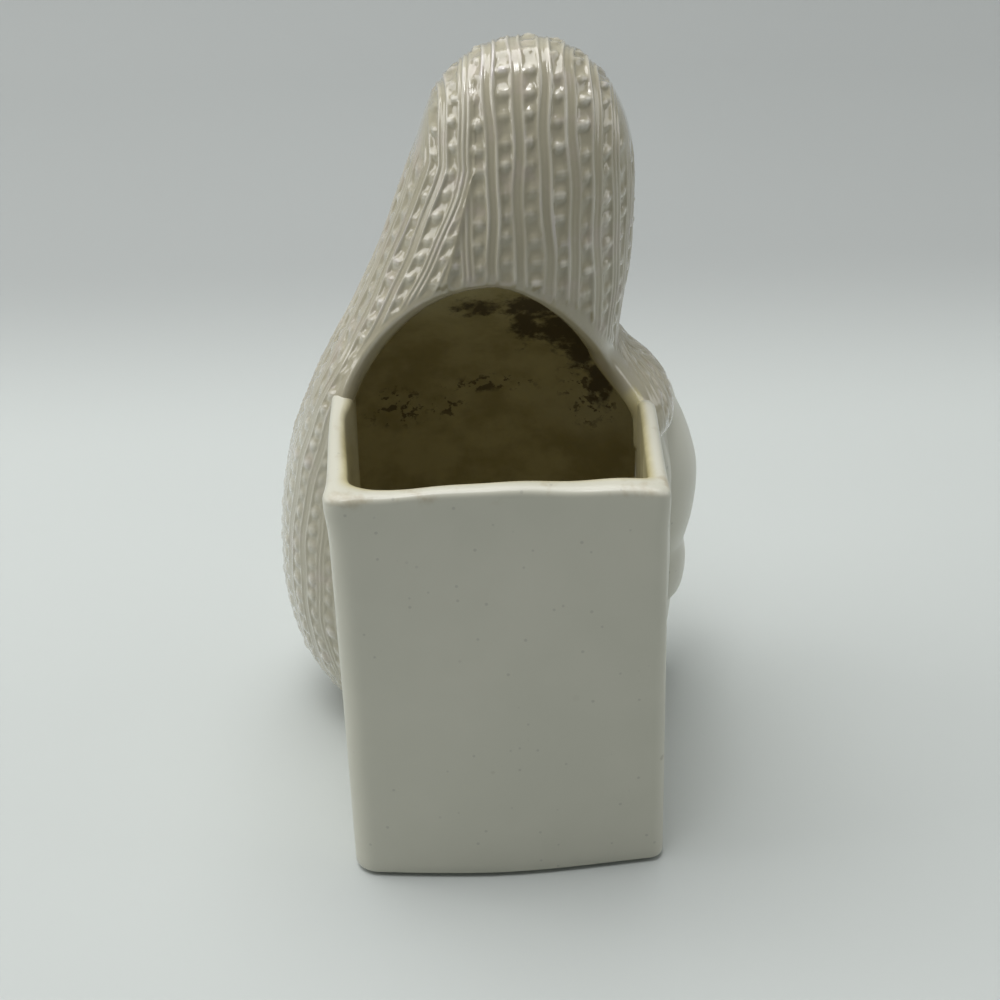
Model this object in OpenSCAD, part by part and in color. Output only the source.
// Statue planter: a glazed casting of a veiled half-length figure, with a
// square planter box luted to its back and an arched opening above the rim.
// The figure looks towards -Y, the box's outer face looks towards +Y, and the
// origin is under the middle of the whole, on the surface that it stands on.

/* [Box] */
// Width of the planter box
box_w = 90; // [84:1:94]
// Height of the box's rim
box_h = 128; // [118:1:134]
// Depth of the box, from its outer corners to its joint with the figure
box_d = 62; // [56:1:75]
// Thickness of the cast walls
wall = 5.2; // [4:0.1:6.5]
// Outward crown of the box's outer face
crown = 2.6; // [1:0.1:4]
// Radius of the box's outer upright corners
corner_r = 6; // [3:0.5:9]
// Radius round the box's lower edge
foot_r = 3; // [1:0.5:3.5]
// Thickness of the floor
floor_t = 7; // [5:0.5:10]

/* [Arch] */
// Rise of the arched opening above the rim
arch_rise = 38; // [30:1:40]
// Half width of the arch where it springs
arch_half = 39; // [34:0.5:41]

/* [Figure] */
// Height of the figure
figure_h = 224; // [218:1:230]
// Reach of the veil to the figure's left, from the box's middle
reach_left = 70.5; // [66:0.5:76]
// Reach of the sleeve to the figure's right, from the box's middle
reach_right = 62; // [58:0.5:66]
// Depth of the figure behind its shoulder line
back_d = 42; // [39:0.5:46]
// Depth of the figure in front of its shoulder line
front_d = 34; // [31:0.5:37]

/* [Drapery] */
// Thickness of the veil where it lies over the robe
veil_t = 3; // [2:0.5:4]
// Number of ribs round the veil
ribs = 24; // [18:2:30]
// Height of a rib
rib_h = 0.9; // [0.5:0.1:1.4]
// Height of the veil's hem on the right shoulder
hem_h = 108; // [102:1:112]
// Number of folds round the robe
folds = 18; // [12:1:24]
// Height of a fold
fold_h = 0.9; // [0.4:0.1:1.5]

/* [Head] */
// Height of the head from chin to crown
head_h = 54; // [50:1:56]
// Drop of the chin below the crown of the veil
chin_drop = 63; // [61:1:65]
// Turn of the head to the figure's right, in degrees
head_turn = 10; // [0:1:20]
// Nod of the head, in degrees
head_nod = 5; // [0:1:8]

/* [Hands] */
// Length of a hand
hand_l = 42; // [34:1:46]
// Width of a hand
hand_w = 17; // [14:0.5:19]
// Thickness of a hand
hand_t = 6.5; // [5:0.5:8]

/* [Hidden] */

glaze = [0.80, 0.79, 0.72];
pearl = [0.78, 0.76, 0.72];
inside = [0.45, 0.43, 0.33];

// Overrun of every cut, and the luting gap round the head
cut = 1;
lute = 0.3;

// The shoulder line stands in front of the box's joint by this share of the back
shoulder_share = 0.62;
shoulder_y = -(box_d + shoulder_share * back_d);
// The joint between robe and veil runs down the sides on this plane
seam_y = shoulder_y - veil_t;
// The hands reach this far in front of the shoulder line
reach_share = 1.3;
reach_front = reach_share * front_d;
// The whole is centred on the origin
mid_x = (reach_right - reach_left) / 2;
mid_y = (reach_front - shoulder_y - crown) / 2;

// One row for each level of the figure: height, left reach, right reach, line
// where it is widest, back, front of the veil, front of the robe, front of the
// wall round the hollow, and squareness
level_shares = [
    [0.000, 0.73, 0.76, -0.20, 0.80, 0.92, 0.84, 0.84, 2.1],
    [0.045, 0.84, 0.82, -0.16, 0.89, 1.01, 0.93, 0.93, 2.1],
    [0.110, 0.94, 0.86, -0.10, 0.95, 1.05, 0.97, 0.97, 2.1],
    [0.210, 0.99, 0.88, -0.04, 0.98, 1.04, 0.95, 0.95, 2.2],
    [0.330, 0.97, 0.88, 0.02, 1.00, 0.96, 0.87, 0.87, 2.3],
    [0.440, 0.895, 0.87, 0.08, 1.00, 0.84, 0.75, 0.75, 2.5],
    [0.510, 0.81, 0.84, 0.13, 1.00, 0.78, 0.67, 0.67, 2.8],
    [0.545, 0.76, 0.765, 0.15, 1.00, 0.74, 0.60, 0.60, 3.0],
    [0.575, 0.71, 0.65, 0.15, 0.99, 0.70, 0.55, 0.34, 3.0],
    [0.605, 0.66, 0.585, 0.14, 0.98, 0.67, 0.52, -0.06, 2.8],
    [0.635, 0.605, 0.585, 0.12, 0.97, 0.66, 0.46, -0.24, 2.7],
    [0.714, 0.485, 0.635, 0.10, 0.93, 0.70, 0.20, -0.36, 2.5],
    [0.795, 0.385, 0.65, 0.10, 0.86, 0.74, -0.30, -0.5, 2.3],
    [0.870, 0.30, 0.64, 0.12, 0.76, 0.70, -0.40, -0.5, 2.2],
    [0.923, 0.235, 0.58, 0.15, 0.66, 0.56, -0.40, -0.5, 2.2],
    [0.960, 0.15, 0.49, 0.18, 0.56, 0.36, -0.40, -0.5, 2.1],
    [0.984, 0.055, 0.39, 0.20, 0.46, 0.14, -0.40, -0.5, 2.1],
    [0.997, -0.02, 0.30, 0.22, 0.36, -0.06, -0.40, -0.5, 2.1],
    [1.000, -0.07, 0.23, 0.24, 0.30, -0.16, -0.40, -0.5, 2.1]];
last_level = len(level_shares) - 1;
// The columns of that table
col_h = 0;
col_left = 1;
col_right = 2;
col_line = 3;
col_back = 4;
col_veil = 5;
col_robe = 6;
col_hollow = 7;
col_power = 8;

// Smooth curve through four values, for a place f between the middle two
function blend(a, b, c, d, f) =
    b + f * ((c - a) / 2 + f * ((2 * a - 5 * b + 4 * c - d) / 2 + f * (3 * b - a - 3 * c + d) / 2));
// Place t along a list of rows, smoothly; a row may be a number or a vector
function along(rows, t) =
    let(n = len(rows), i = max(0, min(floor(t), n - 2)), b = rows[i], c = rows[i + 1],
        a = i > 0 ? rows[i - 1] : 2 * b - c,
        d = i + 2 < n ? rows[i + 2] : 2 * c - b)
    blend(a, b, c, d, t - i);
function bent(v, p) = sign(v) * pow(abs(v), 2 / p);

// Ring of n points round the figure at level t. The insets draw in its left,
// right and depth, keep shrinks its width and its depth, and waves of height
// rise stand on it
function ring(t, n, front, insets, keep, waves, rise) =
    let(row = along(level_shares, t),
        l = reach_left * row[col_left] - insets[0],
        r = insets[1] - reach_right * row[col_right],
        line = shoulder_y + back_d * row[col_line],
        b = shoulder_y + back_d * row[col_back] - insets[2] - line,
        f = line - shoulder_y + front_d * row[front] - insets[2],
        mx = (l + r) / 2, hw = keep[0] * (l - r) / 2)
    [for (i = [0:n - 1])
        let(a = 360 * i / n, k = rise * cos(waves * a),
            c = bent(cos(a), row[col_power]), s = bent(sin(a), row[col_power]))
        [mx + (hw + k) * c, line + (keep[1] * (s > 0 ? b : f) + k) * s, figure_h * row[col_h]]];

// Closed skin over a list of rings, which turn left as seen from the last one
module skin(rings) {
    n = len(rings[0]);
    m = len(rings);
    sides = [for (j = [0:m - 2]) for (i = [0:n - 1])
        let(a = j * n + i, b = j * n + (i + 1) % n)
        each [[a, a + n, b + n], [a, b + n, b]]];
    foot = [for (i = [0:n - 1]) i];
    top = [for (i = [n - 1:-1:0]) (m - 1) * n + i];
    polyhedron([for (r = rings) for (p = r) p], concat([foot], sides, [top]), convexity = 8);
}

// Chain of hulls over a list of convex rings
module chain(rings)
    for (j = [0:len(rings) - 2])
        hull() skin([rings[j], rings[j + 1]]);

// Oval ring round the point c, with the half axes u and v given as vectors
function oval(c, u, v, n) = [for (i = [0:n - 1]) c + cos(360 * i / n) * u + sin(360 * i / n) * v];
function unit(v) = v / norm(v);

// Rings along a smooth path of rows: a point, a half width across and a half
// height; up is the direction that the height keeps to
function tube(rows, steps, up, n) =
    let(m = (len(rows) - 1) * steps)
    [for (k = [0:m])
        let(t = k / steps, c = along([for (r = rows) r[0]], t),
            w = along([for (r = rows) r[1]], t), h = along([for (r = rows) r[2]], t),
            ahead = unit(along([for (r = rows) r[0]], t + 1 / steps / 2)
                - along([for (r = rows) r[0]], t - 1 / steps / 2)),
            side = unit(cross(up, ahead)), rise = cross(ahead, side))
        oval(c, w * side, h * rise, n)];

module placed() translate([mid_x, mid_y, 0]) children();
module mirrored(side) if (side > 0) children(); else mirror([1, 0, 0]) children();

// Plan of the box from its right joint round to its left one
corner_steps = 5;
face_steps = 6;
function corner(x, y, r, from) = [for (i = [0:corner_steps])
    let(a = from - 90 * i / corner_steps) [x + r * cos(a), y + r * sin(a)]];
function plan(inset, r_right, r_left, reach) =
    let(half = box_w / 2 - inset, xr = r_right - half, xl = half - r_left)
    concat([[-half, -reach]],
        corner(xr, -inset - r_right, r_right, 180),
        [for (i = [1:face_steps - 1]) let(f = i / face_steps)
            [xr + (xl - xr) * f, 4 * crown * f * (1 - f) - inset]],
        corner(xl, -inset - r_left, r_left, 90),
        [[half, -reach]]);
outer_plan = plan(0, corner_r, corner_r, box_d);
// The inner corner is tight on the figure's right and wide on its left
inner_right_r = wall / 2;
inner_left_r = corner_r + wall / 2;
inner_plan = plan(wall, inner_right_r, inner_left_r, box_d);

module box_block() slab(outer_plan, -cut, box_h);

// Arched opening above the rim, cut sloping down into the figure and fuller on
// the figure's left; its outline stands on the plane of the figure's back
arch_steps = 24;
arch_power_right = 1.6;
arch_power_left = 2.2;
arch_slope = 27;
back_y = shoulder_y + back_d;
module arch()
    translate([0, back_y, box_h]) rotate([90 + arch_slope, 0, 0])
        translate([0, 0, -back_d / 2]) linear_extrude(height = back_d)
            polygon([for (i = [0:arch_steps])
                let(a = 180 * i / arch_steps, p = cos(a) > 0 ? arch_power_left : arch_power_right)
                [arch_half * bent(cos(a), p),
                    cos(arch_slope) * ((arch_rise + wall) * bent(sin(a), p) - wall)]]);

// The hollow of the figure, from just under the floor's top to a ceiling above
// the arch
hollow_n = 36;
hollow_foot_level = 0.9 * floor_t / (figure_h * level_shares[1][col_h]);
ceiling_shares = [[10.5, 0.98], [11, 0.90], [11.35, 0.74], [11.6, 0.45], [11.7, 0.2]];
function hollow_ring(t, keep) =
    ring(t, hollow_n, col_hollow, [wall, wall, wall], [keep, keep], 0, 0);
module hollow()
    chain(concat([hollow_ring(hollow_foot_level, 1)], [for (t = [1:10]) hollow_ring(t, 1)],
        [for (s = ceiling_shares) hollow_ring(s[0], s[1])]));

// The floor fills the foot of the hollow and the inside of the box
module slab(points, low, high)
    translate([0, 0, low]) linear_extrude(height = high - low) polygon(points);
module floor_form(low, high) {
    difference() {
        slab([for (p = hollow_ring(0, 1)) [p[0], p[1]]], low, high);
        slab(outer_plan, low - cut, high + cut);
    }
    slab(plan(wall, inner_right_r, inner_left_r, box_d + wall), low, high);
}
module floor_cut() floor_form(-cut, floor_t + cut);

// The robe's outer form, drawn in beside the neck, with rounded shoulders:
// level, and what is kept of the width and of the depth there
robe_n = 72;
hem_level = 5.8;
neck_level = 7;
fade_level = 5;
shoulder_shares = [[8.4, 0.99, 1], [8.8, 0.97, 0.99], [9.2, 0.92, 0.97], [9.6, 0.82, 0.93],
    [9.9, 0.68, 0.87], [10.1, 0.55, 0.78]];
function robe_ring(t, keep) =
    ring(t, robe_n, col_robe,
        [veil_t * (1 + 2 * max(0, t - neck_level)), t > hem_level ? veil_t : 0, 0], keep, folds,
        fold_h * max(0, min(1, 2 - t / fade_level)));
module robe_form()
    skin(concat([for (t = [0:0.5:8]) robe_ring(t, [1, 1])],
        [for (s = shoulder_shares) robe_ring(s[0], [s[1], s[2]])]));
module robe_zone() intersection() {
    robe_form();
    union() {
        translate([-2 * reach_left, 2 * seam_y, -cut]) cube([4 * reach_left, -seam_y, figure_h]);
        translate([-2 * reach_left, 2 * seam_y, -cut])
            cube([2 * reach_left - box_w / 2, -2 * seam_y, hem_h + cut]);
    }
}

// The veil's front opening as the viewer in front sees it, from the lower left
// up round the face and out over the right shoulder
edge_shares = [[0.74, -0.02], [0.72, 0.13], [0.66, 0.27], [0.57, 0.40], [0.45, 0.527], [0.32, 0.625],
    [0.20, 0.72], [0.17, 0.80], [0.155, 0.875], [0.07, 0.932], [-0.13, 0.957], [-0.32, 0.932],
    [-0.41, 0.875], [-0.43, 0.80], [-0.435, 0.715], [-0.48, 0.64], [-0.57, 0.585], [-0.78, 0.54],
    [-1.10, 0.52]];
edge_steps = 4;
module opening()
    translate([0, shoulder_y, 0]) rotate([90, 0, 0]) linear_extrude(height = 2 * front_d)
        polygon(concat(
            [for (k = [0:(len(edge_shares) - 1) * edge_steps])
                let(e = along(edge_shares, k / edge_steps)) [reach_left * e[0], figure_h * e[1]]],
            [[-1.1 * reach_left, -cut - figure_h * 0.02]]));

// The veil as a solid, before the figure is hollowed, with ribs that fade out
// towards the crown
veil_n = 72;
crown_level = 13;
module veil_solid() difference() {
    skin([for (t = concat([for (k = [0:10]) k], [for (k = [21:2 * last_level]) k / 2]))
        ring(t, veil_n, col_veil, [rib_h, rib_h, rib_h], [1, 1], ribs,
            rib_h * min(1, (last_level - t) / (last_level - crown_level)))]);
    opening();
    translate([-2 * reach_left, 2 * shoulder_y, -cut])
        cube([2 * reach_left - box_w / 2, -2 * shoulder_y, hem_h + cut]);
}

// The head, in shares of its height, from chin to crown: height, half width,
// front and back
egg_shares = [[0, 0.07, 0.36, -0.22], [0.03, 0.15, 0.41, -0.08], [0.08, 0.215, 0.425, 0.06],
    [0.16, 0.27, 0.43, 0.20], [0.26, 0.315, 0.43, 0.30], [0.38, 0.345, 0.425, 0.37],
    [0.50, 0.36, 0.425, 0.42], [0.62, 0.365, 0.43, 0.45], [0.74, 0.355, 0.42, 0.45],
    [0.85, 0.315, 0.375, 0.41], [0.93, 0.24, 0.29, 0.32], [0.98, 0.13, 0.16, 0.18],
    [1, 0.03, 0.04, 0.05]];
// Features of the face: place across, height above the middle, spread across,
// spread in height, and how far each stands proud
face_shares = [
    [0, -0.10, 0.034, 0.085, 0.050], [0, -0.19, 0.048, 0.036, 0.085], [0.055, -0.205, 0.028, 0.026, 0.028],
    [0.145, 0.03, 0.085, 0.062, -0.050], [0.145, -0.012, 0.062, 0.040, 0.040],
    [0.13, 0.085, 0.10, 0.028, 0.018], [0.21, -0.14, 0.10, 0.10, 0.018],
    [0, -0.300, 0.080, 0.022, 0.026], [0, -0.355, 0.066, 0.024, 0.028], [0, -0.327, 0.095, 0.010, -0.020],
    [0, -0.395, 0.075, 0.022, -0.016], [0, -0.445, 0.085, 0.050, 0.030]];
function bump(d) = exp(-d * d);
function total(v, i = 0) = i < len(v) ? v[i] + total(v, i + 1) : 0;
function relief(x, z) = total([for (f = face_shares)
    f[4] * bump((abs(x) - f[0]) / f[2]) * bump((z - f[1]) / f[3])]);
egg_power = 2.2;
head_n = 44;
head_steps = 3;
// Angle round a head ring, with its points closer together over the face
face_pull = 20;
function face_angle(i, n) = let(a = 360 * i / n) a - face_pull * cos(a);
function egg_ring(t, n, grow, faced) =
    let(row = along(egg_shares, t), z = head_h * (row[0] - 0.5) + grow * (2 * row[0] - 1))
    [for (i = [0:n - 1])
        let(a = face_angle(i, n), s = bent(sin(a), egg_power),
            x = (head_h * row[1] + grow) * bent(cos(a), egg_power),
            y = (s > 0 ? head_h * row[3] + grow : head_h * row[2] + grow) * s,
            mask = faced * max(0, min(1, -2 * s)))
        [x, y - mask * head_h * relief(x / head_h, row[0] - 0.5), z]];
module egg(n, grow, faced)
    skin([for (k = [0:(len(egg_shares) - 1) * head_steps]) egg_ring(k / head_steps, n, grow, faced)]);
head_place_shares = [-0.13, 0.05];
module at_head()
    translate([reach_left * head_place_shares[0], shoulder_y + back_d * head_place_shares[1],
            figure_h - chin_drop + head_h / 2])
        rotate([head_nod, 0, -head_turn]) children();

// The neck: place across, in front of the shoulder line and above the ground,
// and its radius
neck_n = 20;
neck_steps = 3;
neck_shares = [[-0.05, 0.10, 0.50, 0.39], [-0.07, 0.10, 0.57, 0.34], [-0.10, 0.08, 0.65, 0.32],
    [-0.12, 0.05, 0.78, 0.32]];
module neck_form()
    chain([for (k = [0:(len(neck_shares) - 1) * neck_steps])
        let(s = along(neck_shares, k / neck_steps), r = front_d * s[3])
        oval([reach_left * s[0], shoulder_y - front_d * s[1], figure_h * s[2]],
            [r, 0, 0], [0, r, 0], neck_n)]);

// A lock of hair from the parting down the side of the face: its path from the
// middle of the head, then its half width and half thickness
lock_n = 12;
lock_steps = 2;
lock_shares = [[0.00, -0.34, 0.37], [0.12, -0.36, 0.31], [0.24, -0.31, 0.22], [0.32, -0.22, 0.08],
    [0.345, -0.12, -0.06], [0.33, -0.04, -0.20], [0.30, 0.02, -0.30], [0.25, 0.09, -0.38]];
lock_w_share = 0.09;
lock_h_share = 0.05;
module lock(side)
    chain(tube([for (s = lock_shares)
        [head_h * [side * s[0], s[1], s[2]], head_h * lock_w_share, head_h * lock_h_share]],
        lock_steps, [0, -1, 0.2], lock_n));

// The rolled collar, from side to side round the front of the neck: its middle,
// its half width, its depth and its dip, then its own half thickness and height
collar_n = 12;
collar_steps = 14;
collar_place_shares = [-0.07, 0.632];
collar_shares = [0.27, 0.53, 0.035];
collar_roll_shares = [1.2, 1.6];
module collar_form()
    chain([for (k = [0:collar_steps])
        let(a = 180 + 180 * k / collar_steps, out = [cos(a), sin(a), 0],
            c = [reach_left * (collar_place_shares[0] + collar_shares[0] * cos(a)),
                shoulder_y + front_d * collar_shares[1] * sin(a),
                figure_h * (collar_place_shares[1] - collar_shares[2] * pow(sin(a), 2))])
        oval(c, veil_t * collar_roll_shares[0] * out, [0, 0, veil_t * collar_roll_shares[1]],
            collar_n)]);

// The right sleeve's swell down the side of the body: height, reach, place of
// its middle in front of the shoulder line, half depth and half width
swell_n = 24;
swell_shares = [[0.125, 0.79, 0.24, 0.28, 0.26], [0.138, 0.87, 0.24, 0.42, 0.31],
    [0.161, 0.93, 0.21, 0.56, 0.33], [0.183, 0.95, 0.21, 0.62, 0.33], [0.214, 0.955, 0.18, 0.62, 0.33],
    [0.246, 0.942, 0.15, 0.60, 0.33], [0.263, 0.955, 0.15, 0.62, 0.33], [0.295, 0.98, 0.15, 0.68, 0.33],
    [0.335, 0.997, 0.15, 0.71, 0.33], [0.375, 0.994, 0.12, 0.71, 0.33], [0.415, 0.963, 0.06, 0.68, 0.31],
    [0.451, 0.923, 0.0, 0.60, 0.28], [0.482, 0.88, -0.06, 0.49, 0.24], [0.513, 0.845, -0.12, 0.35, 0.19],
    [0.535, 0.78, -0.12, 0.2, 0.13]];
module swell()
    chain([for (s = swell_shares)
        oval([reach_right * (s[4] - s[1]), shoulder_y - front_d * s[2], figure_h * s[0]],
            [reach_right * s[4], 0, 0], [0, front_d * s[3], 0], swell_n)]);

// A forearm in its sleeve, for the figure's left: how far out it lies between
// its mouth and its elbow, shares of the front depth and of the height, then its
// half width and half height. The two mouths stand side by side at the middle
mouth_share = 0.311;
elbow_share = 0.68;
mouth_x = front_d * mouth_share;
elbow_x = reach_left * elbow_share;
arm_shares = [[1, 0.24, 0.262, 0.36, 0.32], [0.755, 0.50, 0.252, 0.42, 0.42],
    [0.472, 0.74, 0.268, 0.40, 0.46], [0.2075, 0.90, 0.305, 0.36, 0.46], [0, 0.95, 0.350, 0.30, 0.42]];
arm_steps = 3;
arm_n = 24;
arm_rings = tube([for (s = arm_shares)
    [[mouth_x + (elbow_x - mouth_x) * s[0], shoulder_y - front_d * s[1], figure_h * s[2]],
        front_d * s[3], front_d * s[4]]],
    arm_steps, [0, 0.3, 1], arm_n);
module forearm() chain(arm_rings);
module sleeve(side) difference() {
    union() {
        mirrored(side) forearm();
        if (side < 0) swell();
    }
    robe_form();
    veil_solid();
    translate([-cut * side, 2 * shoulder_y, 0]) mirrored(-side) cube([reach_left, -2 * shoulder_y, figure_h]);
}

// A rolled cuff, half round, that stands on the mouth of a sleeve
mouth = arm_rings[len(arm_rings) - 1];
mouth_mid = (mouth[0] + mouth[arm_n / 2]) / 2;
mouth_ahead = unit(cross(mouth[0] - mouth_mid, mouth[arm_n / 4] - mouth_mid));
cuff_r = veil_t / 2;
cuff_n = 8;
module cuff_form()
    chain([for (i = [0:arm_n])
        let(p = mouth[i % arm_n], out = unit(p - mouth_mid))
        [for (k = [0:cuff_n - 1]) let(a = 360 * k / cuff_n)
            p + cuff_r * (cos(a) - 1) * out + cuff_r * max(0, sin(a)) * mouth_ahead]]);

// A hand held palm to palm with the other, fingers up. A row of the palm, from
// inside the sleeve upwards: height, half width, then how far its middle stands
// out and its half thickness. A finger: its place across and its length, then
// along it: height, half width and half thickness. The thumb lies along the
// palm's edge: place across, height and radius
palm_shares = [[-0.12, 0.30, 1.5, 0.9], [0.00, 0.34, 0.9, 0.8], [0.12, 0.37, 0.5, 0.64],
    [0.30, 0.46, 0.4, 0.6], [0.46, 0.50, 0.4, 0.6], [0.56, 0.48, 0.4, 0.55]];
finger_place_shares = [[-0.36, 0.93], [-0.12, 1.00], [0.12, 0.97], [0.36, 0.86]];
finger_root_share = 0.5;
finger_shares = [[0.8, 0.13, 0.42], [0.95, 0.10, 0.34], [1, 0.04, 0.15]];
finger_out_share = 0.4;
finger_root_shares = [0.145, 0.44];
finger_gather_shares = [1.05, 0.25];
thumb_shares = [[0.40, 0.18, 0.16], [0.52, 0.34, 0.15], [0.56, 0.50, 0.12], [0.55, 0.60, 0.05]];
palm_n = 16;
finger_n = 10;
wrist_shares = [0.93, 0.35];
hand_lean = 10;
function finger_ring(across, high, half_w, half_t) =
    oval([hand_t * finger_out_share,
            hand_w * across * (finger_gather_shares[0] - finger_gather_shares[1] * high), hand_l * high],
        [hand_t * half_t, 0, 0], [0, hand_w * half_w, 0], finger_n);
module hand_form()
    translate([0, shoulder_y - front_d * wrist_shares[0], figure_h * wrist_shares[1]])
        rotate([hand_lean, 0, 0]) {
            chain([for (s = palm_shares)
                oval([hand_t * s[2], 0, hand_l * s[0]], [hand_t * s[3], 0, 0], [0, hand_w * s[1], 0],
                    palm_n)]);
            for (p = finger_place_shares)
                chain(concat(
                    [finger_ring(p[0], finger_root_share, finger_root_shares[0], finger_root_shares[1])],
                    [for (s = finger_shares) finger_ring(p[0], p[1] * s[0], s[1], s[2])]));
            chain([for (s = thumb_shares)
                oval([hand_t * finger_out_share, hand_w * s[0], hand_l * s[1]], [hand_w * s[2], 0, 0],
                    [0, hand_w * s[2], 0], finger_n)]);
        }
module hand(side)
    difference() {
        mirrored(side) difference() {
            hand_form();
            translate([-hand_w, 2 * shoulder_y, 0]) cube([hand_w, -2 * shoulder_y, figure_h]);
            forearm();
            cuff_form();
        }
        robe_form();
    }

module floor()
    placed() color(inside) floor_form(0, floor_t);

// The wall's section is carried round the plan: rounded at the foot outside,
// and right over the rim
round_steps = 6;
function wall_ring(o, i) =
    let(w = norm(i - o), q = (i - o) / w, top = box_h - w / 2)
    concat(
        [for (k = [0:round_steps / 2]) let(a = 90 - 180 * k / round_steps, p = o + q * foot_r * sin(a))
            [p[0], p[1], foot_r * (1 - cos(a))]],
        [for (k = [0:round_steps]) let(a = 180 * k / round_steps, p = o + q * w * (1 - cos(a)) / 2)
            [p[0], p[1], top + w / 2 * sin(a)]],
        [[i[0], i[1], 0]]);
module planter_box()
    placed() color(glaze) skin([for (k = [0:len(outer_plan) - 1]) wall_ring(outer_plan[k], inner_plan[k])]);

module robe()
    placed() color(glaze) difference() {
        robe_zone();
        hollow();
        box_block();
        floor_cut();
    }

module veil()
    placed() color(pearl) difference() {
        veil_solid();
        robe_zone();
        hollow();
        box_block();
        arch();
        floor_cut();
        at_head() egg(head_n, lute, 0);
    }

module head() placed() color(glaze) at_head() egg(head_n, 0, 1);

module neck()
    placed() color(glaze) difference() {
        neck_form();
        robe_form();
        at_head() egg(head_n, 0, 0);
        translate([-reach_left, shoulder_y, 0]) cube([2 * reach_left, back_d, figure_h]);
    }

module hair()
    placed() color(pearl) difference() {
        at_head() {
            lock(1);
            lock(-1);
        }
        at_head() egg(head_n, 0, 0);
        veil_solid();
    }

module collar()
    placed() color(glaze) difference() {
        collar_form();
        robe_form();
        neck_form();
        veil_solid();
    }

module sleeve_left() placed() color(glaze) sleeve(1);
module sleeve_right() placed() color(glaze) sleeve(-1);

module cuff(side)
    placed() color(pearl) difference() {
        mirrored(side) cuff_form();
        robe_form();
    }
module cuff_left() cuff(1);
module cuff_right() cuff(-1);
module hand_left() placed() color(glaze) hand(1);
module hand_right() placed() color(glaze) hand(-1);

floor();
planter_box();
robe();
veil();
head();
neck();
hair();
collar();
sleeve_left();
sleeve_right();
cuff_left();
cuff_right();
hand_left();
hand_right();
